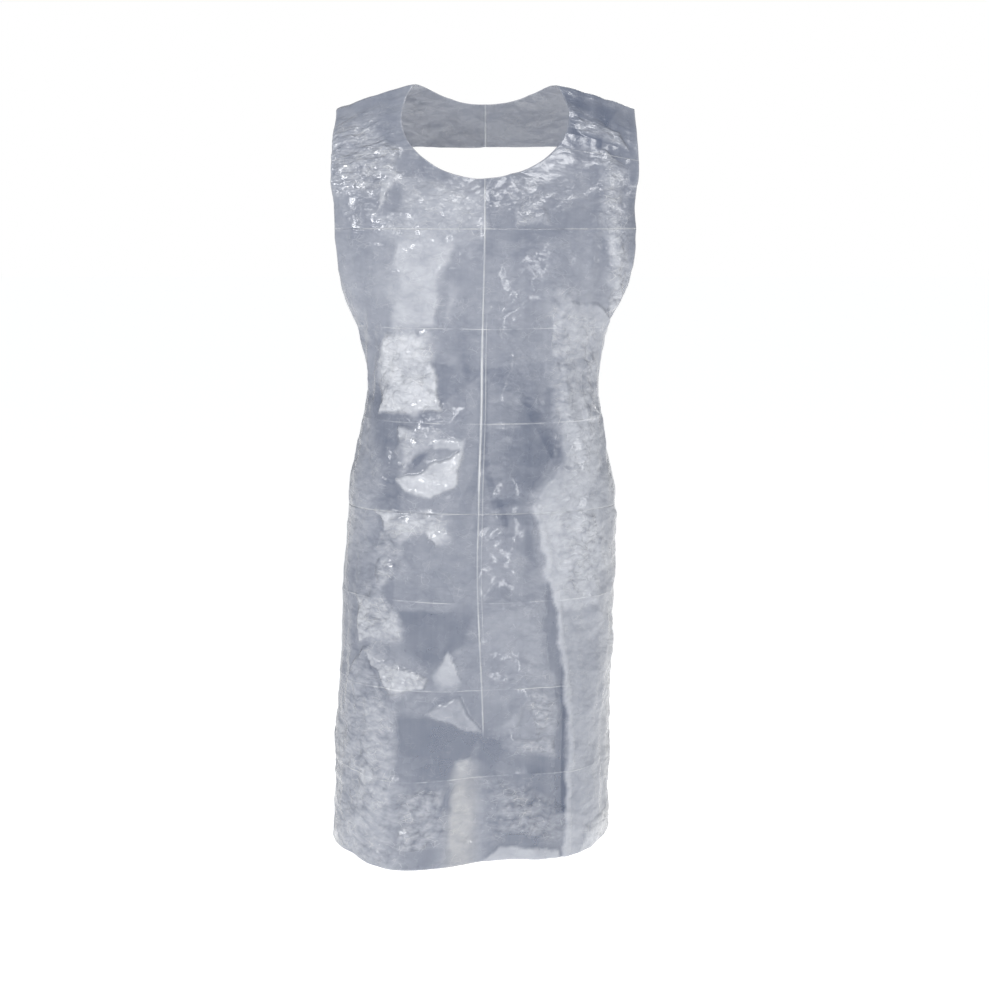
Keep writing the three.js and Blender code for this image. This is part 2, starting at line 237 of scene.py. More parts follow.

# Where the film stands off the clothes: lighter there, partly as painted highlight patches. Each patch
# has its outline on the sheet, how soft its edge is, how milky it looks (partly painted highlight), how
# crumpled it is and how far it stands proud. An edge softer than CRISP fades away along part of its run.
CRISP = 0.0025
LIFTED_AND_HIGHLIGHT_PATCHES = [
    # shoulders and top of the bib
    ([(-0.19, 0.99), (-0.15, 0.99), (-0.11, 0.93), (-0.12, 0.88), (-0.15, 0.86), (-0.19, 0.90)],
     0.012, 0.40, 0.9, 0.001),
    ([(-0.125, 0.905), (-0.105, 0.895), (-0.135, 0.835)], 0.004, 0.60, 0.5, 0.002),
    ([(-0.10, 0.885), (0, 0.87), (0, 0.815), (-0.105, 0.815)], 0.012, 0.55, 0.5, 0.001),
    ([(0.03, 0.885), (0.065, 0.875), (0.08, 0.82), (0.04, 0.82)], 0.008, 0.35, 0.6, 0.001),
    ([(0.15, 0.94), (0.165, 0.92), (0.175, 0.81), (0.195, 0.71), (0.175, 0.71), (0.155, 0.81)],
     0.006, 0.60, 1.0, 0.002),
    ([(0.11, 1.00), (0.17, 0.98), (0.18, 0.95), (0.12, 0.97)], 0.008, 0.35, 0.6, 0.002),
    # chest and belly
    ([(-0.11, 0.81), (-0.03, 0.81), (-0.055, 0.75), (-0.06, 0.695), (-0.12, 0.69)],
     0.005, 0.62, 0.35, 0.002),
    ([(-0.13, 0.685), (-0.07, 0.685), (-0.06, 0.63), (-0.05, 0.585), (-0.145, 0.58), (-0.15, 0.64)],
     0.004, 0.85, 0.9, 0.003),
    ([(-0.045, 0.75), (-0.03, 0.74), (-0.045, 0.695)], 0.004, 0.40, 0.1, 0.001),
    ([(-0.05, 0.665), (-0.03, 0.66), (-0.015, 0.60)], 0.005, 0.30, 0.1, 0.001),
    ([(0.09, 0.74), (0.11, 0.74), (0.12, 0.57), (0.095, 0.57)], 0.005, 0.50, 0.8, 0.001),
    ([(0.125, 0.70), (0.15, 0.70), (0.175, 0.57), (0.14, 0.57)], 0.008, 0.60, 0.9, 0.002),
    ([(-0.11, 0.565), (-0.05, 0.56), (-0.08, 0.535), (-0.105, 0.50)], 0.003, 0.60, 0.7, 0.002),
    ([(-0.11, 0.50), (-0.08, 0.505), (-0.02, 0.54), (-0.03, 0.49), (-0.06, 0.475), (-0.095, 0.48)],
     0.002, 0.80, 0.5, 0.003),
    ([(-0.06, 0.55), (-0.02, 0.55), (-0.02, 0.54), (-0.06, 0.54)], 0.002, 0.60, 0.1, 0.001),
    ([(-0.20, 0.59), (-0.17, 0.59), (-0.13, 0.50), (-0.15, 0.40), (-0.20, 0.39), (-0.22, 0.46)],
     0.012, 0.40, 0.3, 0.002),
    # the light side of the skirt, from the standing fold round to the hip
    ([(0.10, 0.72), (0.11, 0.52), *STANDING_FOLD, (0.13, -0.01), (0.30, -0.01), (0.30, 0.62), (0.155, 0.72)],
     0.002, 0.50, 0.26, 0.003),
    (STANDING_FOLD + BEHIND_FOLD, 0.002, 0.62, 0.3, 0.001),
    ([(0.11, 0.60), (0.11, 0.52), (0.075, 0.465), (0.11, 0.33), (0.17, 0.33), (0.17, 0.60)],
     0.010, 0.68, 0.38, 0.001),
    ([(0.12, 0.56), (0.15, 0.56), (0.145, 0.50), (0.125, 0.50)], 0.006, 0.70, 0.8, 0.001),
    ([(0.10, 0.45), (0.16, 0.45), (0.17, 0.35), (0.125, 0.35)], 0.008, 0.64, 0.9, 0.001),
    ([(0.20, 0.47), (0.225, 0.47), (0.235, 0.08), (0.215, 0.08)], 0.008, 0.70, 0.5, 0.002),
    # the middle of the skirt
    ([(-0.14, 0.455), (-0.045, 0.455), (-0.04, 0.43), (-0.055, 0.415), (-0.07, 0.435), (-0.10, 0.42),
      (-0.125, 0.435)], 0.003, 0.75, 1.0, 0.003),
    ([(-0.13, 0.43), (-0.105, 0.425), (-0.105, 0.375), (-0.14, 0.35)], 0.006, 0.45, 0.9, 0.002),
    ([(0.005, 0.34), (0.08, 0.335), (0.10, 0.23), (0.055, 0.235), (0.035, 0.275), (0.005, 0.28)],
     0.004, 0.30, 0.05, 0.001),
    ([(-0.17, 0.34), (-0.12, 0.34), (-0.10, 0.32), (-0.10, 0.29), (-0.16, 0.285)],
     0.003, 0.62, 1.0, 0.002),
    ([(-0.155, 0.275), (-0.06, 0.245), (-0.065, 0.23), (-0.11, 0.22)], 0.003, 0.60, 0.9, 0.003),
    ([(-0.05, 0.25), (-0.035, 0.28), (-0.015, 0.24), (-0.04, 0.23)], 0.003, 0.62, 0.2, 0.002),
    ([(-0.06, 0.20), (-0.015, 0.22), (0.01, 0.17)], 0.002, 0.40, 0.2, 0.002),
    ([(0.03, 0.175), (0.07, 0.215), (0.06, 0.18)], 0.004, 0.30, 0.2, 0.002),
    ([(0.07, 0.225), (0.10, 0.22), (0.11, 0.18), (0.085, 0.165)], 0.006, 0.30, 0.9, 0.001),
    # hem
    ([(-0.155, 0.275), (-0.10, 0.185), (-0.10, -0.01), (-0.215, -0.01), (-0.235, 0.16)],
     0.004, 0.36, 0.6, 0.003),
    ([(-0.135, 0.20), (-0.115, 0.19), (-0.125, 0.09), (-0.155, 0.06), (-0.155, 0.12)],
     0.008, 0.55, 0.9, 0.001),
    ([(-0.02, 0.135), (0, 0.14), (0.01, -0.01), (-0.03, -0.01)], 0.007, 0.47, 0.3, 0.001),
    ([(-0.10, 0.10), (-0.035, 0.105), (-0.035, 0.035), (-0.09, 0.025)], 0.008, 0.28, 1.0, 0.002),
    ([(0.035, 0.105), (0.11, 0.08), (0.115, 0.025), (0.04, 0.04)], 0.008, 0.17, 1.0, 0.002),
    ([(0.06, 0.16), (0.11, 0.16), (0.11, 0.14), (0.06, 0.145)], 0.005, 0.40, 0.9, 0.001),
    ([(0.01, -0.01), (0.04, 0.02), (0.125, 0.01), (0.125, -0.01)], 0.002, 0.60, 0.2, 0.002),
    ([(0.16, 0.03), (0.24, 0.04), (0.24, -0.01), (0.16, -0.01)], 0.004, 0.80, 0.6, 0.002),
]

# Where it is pressed flat and looks darkest, with the softness of its edge
PRESSED = [
    ([(-0.10, 0.19), (-0.06, 0.195), (0.09, 0.145), (0, 0.135), (-0.10, 0.15)], 0.005),
    ([(0.095, 0.39), (0.09, 0.31), (0.11, 0.23), (0.115, 0.06), (0.13, 0.06), (0.12, 0.245)], 0.002),
    ([(0.06, 0.60), (0.10, 0.535), (0.06, 0.465), (0.08, 0.39), (0.045, 0.41), (0.02, 0.47)], 0.010),
    ([(-0.09, 0.53), (-0.06, 0.54), (-0.085, 0.51)], 0.003),
    ([(-0.10, 0.33), (-0.01, 0.33), (-0.01, 0.29), (-0.06, 0.26), (-0.10, 0.285)], 0.006),
    ([(0.01, 0.15), (0.13, 0.13), (0.13, 0), (0.015, 0)], 0.006),
    ([(0.10, 1.03), (0.20, 1.03), (0.19, 0.89), (0.11, 0.93)], 0.020),
    ([(-0.10, 0.20), (0, 0.19), (-0.03, 0), (-0.10, 0)], 0.025),
]

# How milky and how crumpled the film is outside every patch, and how milky at least at its side and behind
PLAIN_MILK, PLAIN_CRUMPLE = 0.235, 0.17
SIDE_MILK, BEHIND_MILK = 0.42, 0.35

# How much darker and how much flatter the film is where it is pressed
PRESSED_DARKER, PRESSED_FLATTER = 0.17, 0.8

# How far the centre line of the skirt hangs round towards the wearer's left, near the hem
TWIST = 0.016

# How far each crease of the packet stands out, and how wide it is on each side
CROSS_CREASE, CROSS_CREASE_WIDTH = 0.0014, 0.012
CENTRE_CREASE, CENTRE_CREASE_WIDTH = 0.0022, 0.014

# How far the long folds stand out: broad and fine ones below the waist, gathers at it, slack above it
HANG, FINE_HANG, GATHER = 0.0050, 0.0016, 0.0026
SLACK, FINE_SLACK = 0.0030, 0.0012

# The crushed facets: how large across, how high, the share that is always there, seed and squatness
FACETS = [
    (0.046, 0.0040, 0.42, 2.1, 1.0),
    (0.019, 0.0026, 0.14, 4.3, 1.5),
    (0.0095, 0.0014, 0.04, 6.7, 1.5),
]

# How far the hem sags in front of one thigh, swings up at the other hip, and ripples
HEM_SAG, HEM_RISE, HEM_RIPPLE = 0.016, 0.005, 0.0025

# How wide the lighter rim along each cut edge is
RIM_WIDTH = 0.002


def noise_at(s, h, scale, seed=0.0):
    """Smooth noise from -1 to 1 at each place of the sheet, with features about 1 / scale metres across."""
    return np.array([noise.noise((a * scale + seed, b * scale - seed * 0.7, seed)) for a, b in zip(s, h)])


def within(s, h, outline, soft):
    """1 inside an outline and 0 outside it, smooth over its soft edge, given for each place."""
    inside = np.zeros(len(s), bool)
    nearest = np.full(len(s), np.inf)
    for (s0, h0), (s1, h1) in zip(outline, outline[1:] + outline[:1]):
        ds, dh = s1 - s0, h1 - h0
        t = np.clip(((s - s0) * ds + (h - h0) * dh) / (ds * ds + dh * dh), 0, 1)
        nearest = np.minimum(nearest, np.hypot(s - s0 - t * ds, h - h0 - t * dh))
        if dh:
            inside ^= ((h0 > h) != (h1 > h)) & (s < s0 + (h - h0) * ds / dh)
    return ease(0.5 + np.where(inside, nearest, -nearest) / (2 * soft))


def facets(s, h, size, seed, squat=1.0):
    """Heights from -1 to 1 of crisp film crushed into flat three-sided facets about size across."""
    wander = 0.5 * size
    a = s + wander * noise_at(s, h, 0.7 / size, seed)
    b = h + wander * noise_at(s, h, 0.7 / size, seed + 7)
    rise = b * squat / (size * 0.87)
    run = a / size - rise / 2
    i, j = np.floor(run).astype(int), np.floor(rise).astype(int)
    a, b = run - i, rise - j
    heights = np.random.default_rng(int(seed * 10)).uniform(-1, 1, (97, 89))

    def corner(right, up):
        return heights[(i + right) % 97, (j + up) % 89]

    low = corner(0, 0) * (1 - a - b) + corner(1, 0) * a + corner(0, 1) * b
    high = corner(1, 1) * (a + b - 1) + corner(0, 1) * (1 - a) + corner(1, 0) * (1 - b)
    return np.where(a + b < 1, low, high)


def cusp(distance, width):
    """1 on a sharp crease, falling away on both sides of it."""
    return np.exp(-np.abs(distance) / width)


def patch_state(s, h):
    """How milky (partly painted highlight) and how crumpled the film is at each place, from 0 to 1, and how
    far it stands proud.
    """
    ragged_s = s + 0.005 * noise_at(s, h, 45, 12.0) + 0.0016 * noise_at(s, h, 150, 22.0)
    ragged_h = h + 0.005 * noise_at(s, h, 40, 17.0) + 0.0016 * noise_at(s, h, 130, 27.0)
    fading = 0.5 + 5.0 * ease(0.5 + 1.4 * noise_at(s, h, 21, 31.0)) ** 2
    uneven = ease(0.75 + 0.9 * noise_at(s, h, 32, 37.0))
    streaks = noise_at(s, h * 0.12, 42, 41.0)
    milk = PLAIN_MILK + 0.05 * noise_at(s, h, 11, 3.3) + 0.095 * streaks
    crumple = PLAIN_CRUMPLE + 0.14 * noise_at(s, h, 17, 5.5)
    proud = np.zeros(len(s))

    def covered(outline, soft):
        return within(ragged_s, ragged_h, outline, soft * fading if soft > CRISP else soft)

    for outline, soft in PRESSED:
        share = covered(outline, soft)
        milk = milk - PRESSED_DARKER * share
        crumple = crumple * (1 - PRESSED_FLATTER * share)
    # each patch lightens the film towards its tone: film off the clothes, partly a painted highlight patch
    for outline, soft, milky, crumpled, stands in LIFTED_AND_HIGHLIGHT_PATCHES:
        share = covered(outline, soft)
        milk = mix(milk, np.maximum(milk, milky), share * (0.62 + 0.38 * uneven))
        crumple = mix(crumple, np.maximum(crumple, crumpled), share)
        proud = proud + stands * share
    round_the_side = ease((np.abs(s) - 0.19) / 0.10) * ease((SKIRT_LENGTH + 0.08 - h) / 0.12)
    milk = np.maximum(milk, SIDE_MILK * round_the_side)
    behind = ease((h - RIDGE) / 0.04)
    milk = np.maximum(milk, BEHIND_MILK * behind)
    return milk, np.clip(crumple, 0, 1), proud


def centre_crease(h):
    """Where the sheet's centre crease runs at each height."""
    return TWIST * ease((0.42 - h) / 0.3)


def fold_creases(s, h):
    """The creases of the folded packet: across the sheet at each fold, and down its centre."""
    total = np.zeros(len(s))
    fade = 0.6 + 0.5 * noise_at(s, h, 9, 3.0)
    for i, height in enumerate(FOLD_HEIGHTS):
        total += (-1) ** i * CROSS_CREASE * fade * cusp(h - height, CROSS_CREASE_WIDTH)
    centre = CENTRE_CREASE * (0.7 + 0.4 * noise_at(s, h, 5, 8.0))
    centre = centre * cusp(s - centre_crease(h), CENTRE_CREASE_WIDTH)
    return total + centre * ease((h - 0.12) / 0.12)


def soft_folds(s, h):
    """The long folds: hanging from the waist, gathered towards the ties, and slack across the bib."""
    below = ease((SKIRT_LENGTH - h) / 0.40)
    hang = HANG * below * noise_at(s, h * 0.25, 12, 1.5)
    hang += FINE_HANG * below * noise_at(s, h * 0.18, 34, 4.5)
    waist = np.exp(-((h - SKIRT_LENGTH) / 0.10) ** 2)
    side = ease((np.abs(s) - 0.08) / 0.10)
    fan = s + 0.35 * (h - SKIRT_LENGTH) * np.sign(s)
    gather = GATHER * waist * side * noise_at(fan, h * 0.12, 70, 2.2)
    slack = SLACK * ease((h - SKIRT_LENGTH + 0.1) / 0.15) * noise_at(s * 0.8 + h * 0.3, h, 13, 6.1)
    slack += FINE_SLACK * ease((np.abs(s) - 0.10) / 0.05) * noise_at(s, h * 0.16, 75, 9.1)
    return hang + gather + slack


def crushed(s, h, crumple):
    """Crisp facets of three sizes, stronger where the film is crumpled."""
    total = np.zeros(len(s))
    for size, height, always, seed, squat in FACETS:
        total += height * facets(s, h, size, seed, squat) * (always + (1 - always) * crumple)
    return total


def hem_dip(s, h):
    """The hem hangs lowest in front of the wearer's right thigh and swings up towards the left hip."""
    below = ease((0.32 - h) / 0.32)
    sag = -HEM_SAG * np.exp(-((s + 0.110) / 0.070) ** 2)
    return below * (sag + HEM_RISE * ease((s - 0.12) / 0.10) + HEM_RIPPLE * np.sin(s * 31))


def film_surface(s, h):
    """Where the crumpled film lies, and its (milk, crumple, rim) at each place."""
    milk, crumple, proud = patch_state(s, h)
    relief = fold_creases(s, h) + soft_folds(s, h) + crushed(s, h, crumple) + proud
    points = laid(s, h) + laid_normals(s, h) * relief[:, None]
    points[:, 2] += hem_dip(s, h)
    inset = np.minimum(sheet_edge(h) - np.abs(s), np.minimum(h, np.hypot(s, h - NECK_CENTRE) - NECK_RADIUS))
    rim = 1 - np.clip(inset / RIM_WIDTH, 0, 1)
    return points, np.stack([milk, crumple, rim], axis=1)


# ---------------------------------------------------------------- film pieces

def flat_grid(columns, rows):
    """A bmesh grid, with each vertex's column and row."""
    bm = bmesh.new()
    bmesh.ops.create_grid(bm, x_segments=columns, y_segments=rows, size=0.5)
    places = np.array([vertex.co[:2] for vertex in bm.verts]) + 0.5
    return bm, np.rint(places * (columns, rows)).astype(int).T


def film_piece(name, bm, points, flat, state, closed=False):
    """Moves the grid's vertices to the points, keeps their place on the sheet, and gives them thickness."""
    flat_layer = bm.verts.layers.float_vector.new("flat")
    state_layer = bm.verts.layers.float_vector.new("state")
    for vertex, point, place, look in zip(bm.verts, points, flat, state):
        vertex.co = point
        vertex[flat_layer] = (*place, 0)
        vertex[state_layer] = look
    if closed:
        bmesh.ops.remove_doubles(bm, verts=bm.verts, dist=1e-6)
    bmesh.ops.dissolve_degenerate(bm, edges=bm.edges, dist=1e-6)
    piece = smooth_object(name, bm)
    solid = piece.modifiers.new("film", "SOLIDIFY")
    solid.thickness = FILM
    solid.offset = 0
    return piece


def smooth_object(name, bm):
    for face in bm.faces:
        face.smooth = True
    mesh = bpy.data.meshes.new(name)
    bm.to_mesh(mesh)
    bm.free()
    piece = bpy.data.objects.new(name, mesh)
    bpy.context.scene.collection.objects.link(piece)
    return piece


def spaced(low, high, count, creases, near=0.0011):
    """Even values from low to high, with one set on each crease and one close to each side of it."""
    values = np.linspace(low, high, count + 1)
    for crease in creases:
        if low + 2 * near < crease < high - 2 * near:
            i = int(np.argmin(np.abs(values - crease)))
            values[i - 1:i + 2] = crease - near, crease, crease + near
    return values


def make_front(name, grid, low, high):
    """The film between two heights, from hip to hip."""
    heights = spaced(low, high, grid[1], FOLD_HEIGHTS)
    shares = spaced(-FLAP_LINE, FLAP_LINE, grid[0], [0.0]) / FLAP_LINE
    bm, (column, row) = flat_grid(*grid)
    h = heights[row]
    s = shares[column] * np.minimum(FLAP_LINE, sheet_edge(h))
    points, state = film_surface(s, h)
    return film_piece(name, bm, points, np.stack([s, h], axis=1), state)


def sweep_height(half):
    """How high up the armhole's sweep the sheet is still half wide on each side."""
    t = 1 - math.sqrt(1 - (1 - (half - BIB_HALF) / (SHEET_HALF - BIB_HALF)) ** 2)
    return SKIRT_LENGTH + ARMHOLE_SWEEP * t


def make_side(name, sign):
    """The free side of the skirt, round the hip to its back edge and up to a point on the armhole's sweep."""
    columns, rows = SIDE_GRID
    heights = spaced(0, sweep_height(FLAP_LINE), rows, FOLD_HEIGHTS)
    bm, (column, row) = flat_grid(columns, rows)
    h = heights[row]
    t = (column if sign > 0 else columns - column) / columns
    s = sign * mix(FLAP_LINE, np.maximum(sheet_edge(h), FLAP_LINE), t)
    points, state = film_surface(s, h)
    return film_piece(name, bm, points, np.stack([s, h], axis=1), state)


def make_yoke(name):
    """The film round the neck opening: bib top, both shoulder straps and the band behind the neck."""
    spokes, rings = YOKE_GRID
    turns = np.linspace(0, 2 * math.pi, spokes + 1)
    for s, h in ((BIB_HALF, BIB_TOP), (TOP_EDGE_HALF, SHEET_LENGTH)):
        for side in (1, -1):
            turn = math.atan2(side * s, NECK_CENTRE - h) % (2 * math.pi)
            turns[np.argmin(np.abs(turns - turn))] = turn
    low, high = np.full(spokes + 1, NECK_RADIUS), np.full(spokes + 1, 2 * BIB_HALF)
    for _ in range(40):
        middle = (low + high) / 2
        s, h = middle * np.sin(turns), NECK_CENTRE - middle * np.cos(turns)
        inside = (h > BIB_TOP) & (h < SHEET_LENGTH) & (np.abs(s) < sheet_edge(h))
        low, high = np.where(inside, middle, low), np.where(inside, high, middle)
    bm, (spoke, ring) = flat_grid(spokes, rings)
    radius = mix(NECK_RADIUS, low[spoke], ring / rings)
    s, h = radius * np.sin(turns[spoke]), NECK_CENTRE - radius * np.cos(turns[spoke])
    points, state = film_surface(s, h)
    return film_piece(name, bm, points, np.stack([s, h], axis=1), state, closed=True)


# ---------------------------------------------------------------- ties and bow

knot_low, knot_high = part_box("bow_knot")
KNOT = np.array((knot_low + knot_high) / 2)
KNOT_SIZE = np.array(knot_high - knot_low)
PLEATS, PLEAT_DEPTH = 3, 0.0022
TIE_GATHERED_WIDTH, TIE_TUCK = 0.013, 0.003
LOOP_LENGTH, LOOP_DEPTH, LOOP_ROOT_DEPTH = 0.105, 0.016, 0.004
LOOP_WIDTH, LOOP_ROOT_WIDTH = 0.01885, 0.0091
LOOP_STANDOFF = 0.0013
LOOP_SPLAY, LOOP_LEAN = math.radians(60), math.tan(math.radians(9))
TAIL_LEAN = math.tan(math.radians(3))
TAIL_TOP_WIDTH, TAIL_END_WIDTH, TAIL_SPREAD = 0.007, 0.019, 0.016
TAIL_GAP, TAIL_PLEAT_DEPTH, TAIL_GATHER_RUN = 0.0003, 0.0030, 0.12


def pleats(v, count, seed):
    """A strip gathered into uneven sharp pleats across its width, from -1 to 1."""
    wave = v * count + 0.35 * np.sin(v * 9 + seed)
    return 4 * np.abs(wave - np.floor(wave + 0.5)) - 1


def tie_state(s, h, gathered):
    milk = np.clip(0.40 + 0.35 * gathered + 0.15 * noise_at(s, h, 60, 2.0), 0, 1)
    return np.stack([milk, np.full(len(s), 0.8), np.zeros(len(s))], axis=1)


def make_waist_tie(side, sign):
    """A tie, from the sheet's waist corner to the knot, gathering as it goes."""
    columns, rows = TIE_GRID
    bm, (column, row) = flat_grid(columns, rows)
    along, v = column / columns, row / rows
    along = along if sign > 0 else 1 - along
    gathered = ease(along)
    h = TIE_HEIGHT + (v - 0.5) * mix(TIE_WIDTH, TIE_GATHERED_WIDTH, gathered)
    s = mix(SHEET_HALF, half_girth(h) - KNOT_SIZE[0] / 2 + TIE_TUCK, along)
    fold = pleats(v, PLEATS, 1.0) * PLEAT_DEPTH * gathered + 0.0008 * facets(s * 3, h * 3, 0.02, 3.1)
    points = laid(sign * s, h) + laid_normals(sign * s, h) * fold[:, None]
    flat = np.stack([sign * s, TIE_HEIGHT + (v - 0.5) * TIE_WIDTH], axis=1)
    return film_piece(f"{side}_tie", bm, points, flat, tie_state(s, h, gathered))


def loop_centre(u, root, along, out):
    far = (1 - np.cos(u * 2 * math.pi)) / 2
    swell = np.sin(u * 2 * math.pi) * mix(LOOP_ROOT_DEPTH, LOOP_DEPTH, far) / 2
    return far, root + far[:, None] * (LOOP_LENGTH - LOOP_STANDOFF) * along + swell[:, None] * out


def make_bow_loop(side, sign):
    """A loop of the bow: the strip runs out from the knot, turns back and returns, pleated at its root."""
    along = np.array([sign * math.sin(LOOP_SPLAY), LOOP_LEAN, -math.cos(LOOP_SPLAY)])
    along /= np.linalg.norm(along)
    width = np.array([math.cos(LOOP_SPLAY), 0, sign * math.sin(LOOP_SPLAY)])
    out = np.cross(width, along)
    out /= np.linalg.norm(out)
    radii = KNOT_SIZE / 2
    surface = along * radii / np.linalg.norm(along * radii) * radii
    root = KNOT + surface + along * LOOP_STANDOFF
    columns, rows = LOOP_GRID
    bm, (column, row) = flat_grid(columns, rows)
    u, v = column / columns, row / rows
    far, centre = loop_centre(u, root, along, out)
    ahead, behind = (loop_centre(u + d, root, along, out)[1] for d in (0.002, -0.002))
    run = ahead - behind
    run /= np.linalg.norm(run, axis=1)[:, None]
    normal = np.cross(width, run)
    gathered = 1 - ease(far * 1.4)
    fold = pleats(v, PLEATS, 2.0 + sign) * PLEAT_DEPTH * gathered
    fold += 0.0010 * facets(u * 0.21, v * 0.02, 0.016, 5.1)
    fold *= 1 - 0.7 * np.abs(np.cos(u * math.pi)) ** 40
    breadth = mix(LOOP_ROOT_WIDTH, LOOP_WIDTH, far)
    curl = 0.0025 * far * np.sin(u * 14 + v * 3)
    points = centre + width * ((v - 0.5) * breadth + curl)[:, None] + normal * fold[:, None]
    flat = np.stack([u * 2 * LOOP_LENGTH, v * TIE_WIDTH], axis=1)
    state = tie_state(flat[:, 0], flat[:, 1], gathered)
    return film_piece(f"{side}_loop", bm, points, flat, state, closed=True)


def make_tail(side, sign):
    """A tail of the tie, hanging from under the knot: narrow and pleated, then flat and slightly curled."""
    low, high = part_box(f"{side}_tie_tail")
    length = high.z - low.z
    columns, rows = TAIL_GRID
    bm, (column, row) = flat_grid(columns, rows)
    v, fall = column / columns, (1 - row / rows) * length
    apart = ease((fall - LOOP_LENGTH) / (length - LOOP_LENGTH))
    spread = mix(TAIL_TOP_WIDTH, TAIL_END_WIDTH, apart)
    across = v if sign > 0 else 1 - v
    x = KNOT[0] + sign * (TAIL_GAP + TAIL_SPREAD * apart + across * spread)
    gathered = 1 - ease(fall / TAIL_GATHER_RUN)
    fold = pleats(v, PLEATS, 5.0 + sign) * TAIL_PLEAT_DEPTH * (0.4 + 0.6 * gathered)
    fold += 0.0016 * facets(v * 0.02, fall * 0.8, 0.018, 8.1) * (1 - gathered)
    curl = 0.004 * apart * np.sin(fall * 38 + sign) + 0.005 * apart * (v - 0.5) * sign
    y = KNOT[1] + fall * TAIL_LEAN + fold + curl
    z = KNOT[2] - KNOT_SIZE[2] / 2 - TAIL_GAP - fall
    flat = np.stack([v * TIE_WIDTH, length - fall], axis=1)
    points = np.stack([x, y, z], axis=1)
    return film_piece(f"{side}_tail", bm, points, flat, tie_state(flat[:, 0], flat[:, 1], gathered))


def make_knot():
    """The knot: gathered strips drawn in at both sides, with one strip wrapped round its middle."""
    bm = bmesh.new()
    bmesh.ops.create_icosphere(bm, subdivisions=6, radius=0.5)
    flat_layer = bm.verts.layers.float_vector.new("flat")
    state_layer = bm.verts.layers.float_vector.new("state")
    for vertex in bm.verts:
        x, y, z = vertex.co * 2
        turn = math.atan2(z, y)
        wrap = 1 - float(ease((abs(x) - 0.30) / 0.12))
        gather = (1 - abs(math.sin(turn * 5 + x * 1.3 + noise.noise((x, y, z)) * 2))) * (1 - wrap)
        band = (1 - abs(math.sin(x * 11 + 0.9 * math.sin(turn * 2) + noise.noise((y, z, x)) * 1.5))) * wrap
        swell = 0.74 + 0.16 * gather + 0.12 * band + 0.14 * wrap
        size = KNOT_SIZE * (1.0, swell, swell)
        vertex.co = Vector(KNOT + np.array(vertex.co) * size)
        vertex[flat_layer] = (turn * 0.008, x * 0.011, 0)
        vertex[state_layer] = (0.45 + 0.25 * (gather + band), 0.6, 0)
    return smooth_object("knot", bm)


# ---------------------------------------------------------------- materials

class Flow:
    """An output socket of a material's nodes. Arithmetic on it adds Math nodes."""

    def __init__(self, tree, socket=None):
        self.tree = tree
        self.socket = socket

    def node(self, kind, settings, inputs, output=0):
        """Any node: its settings are set first, then the value or link of each input."""
        made = self.tree.nodes.new(kind)
        for key, value in settings.items():
            setattr(made, key, value)
        for key, value in inputs.items():
            if isinstance(value, Flow):
                self.tree.links.new(value.socket, made.inputs[key])
            else:
                made.inputs[key].default_value = value
        return Flow(self.tree, made.outputs[output] if len(made.outputs) else None)

    def maths(self, operation, *values):
        return self.node("ShaderNodeMath", {"operation": operation}, dict(enumerate(values)))

    def __add__(self, other):
        return self.maths("ADD", self, other)

    __radd__ = __add__

    def __sub__(self, other):
        return self.maths("SUBTRACT", self, other)

    def __rsub__(self, other):
        return self.maths("SUBTRACT", other, self)

    def __mul__(self, other):
        return self.maths("MULTIPLY", self, other)

    __rmul__ = __mul__

    def __abs__(self):
        return self.maths("ABSOLUTE", self)

    def clamped(self):
        return self.node("ShaderNodeClamp", {}, {"Value": self})

    def stepped(self, low, high):
        """0 below low, 1 above high, smooth between."""
        settings = {"interpolation_type": "SMOOTHSTEP"}
        return self.node("ShaderNodeMapRange", settings, {"Value": self, "From Min": low, "From Max": high})

    def part(self, axis):
        return self.node("ShaderNodeSeparateXYZ", {}, {0: self}, axis)

    def scaled(self, *scale):
        return self.node("ShaderNodeMapping", {}, {"Vector": self, "Scale": scale})

    def texture(self, scale, detail=2.0, rough=0.5, twist=0.0):
        inputs = {"Vector": self, "Scale": scale, "Detail": detail, "Roughness": rough, "Distortion": twist}
        return self.node("ShaderNodeTexNoise", {}, inputs)

    def turned(self, turn, squeeze):
        """The same places squeezed along the sheet, then turned in it."""
        inputs = {"Vector": self, "Rotation": (0, 0, turn), "Scale": (1, squeeze, 1)}
        return self.node("ShaderNodeMapping", {}, inputs)

    def crushed(self, scale, turn, metric):
        """Small flat-sided peaks, 0 at the top of each, on a lattice turned to one side."""
        settings = {"distance": metric, "voronoi_dimensions": "2D"}
        return self.node("ShaderNodeTexVoronoi", settings, {"Vector": self.turned(turn, 1.5), "Scale": scale})

    def cracks(self, scale, turn, width):
        """Thin straight-sided lines, 1 along each."""
        settings = {"feature": "DISTANCE_TO_EDGE", "voronoi_dimensions": "2D"}
        edge = self.node("ShaderNodeTexVoronoi", settings, {"Vector": self.turned(turn, 1.9), "Scale": scale})
        return 1 - edge.stepped(0.0, width)

    def wandering(self, scale, reach):
        """The same places pushed about by smooth noise."""
        push = self.node("ShaderNodeTexNoise", {}, {"Vector": self, "Scale": scale, "Detail": 2.0}, 1)
        push = self.node("ShaderNodeVectorMath", {"operation": "SUBTRACT"}, {0: push, 1: (0.5, 0.5, 0.5)})
        push = self.node("ShaderNodeVectorMath", {"operation": "MULTIPLY"}, {0: push, 1: (reach, reach, 0)})
        return self.node("ShaderNodeVectorMath", {"operation": "ADD"}, {0: self, 1: push})

    def colour(self, a, b):
        """Colour a where this is 0, and b where it is 1."""
        inputs = {0: self, 6: as_colour(a), 7: as_colour(b)}
        return self.node("ShaderNodeMix", {"data_type": "RGBA"}, inputs, 2)


def as_colour(value):
    return value if isinstance(value, Flow) else (*value, 1.0)


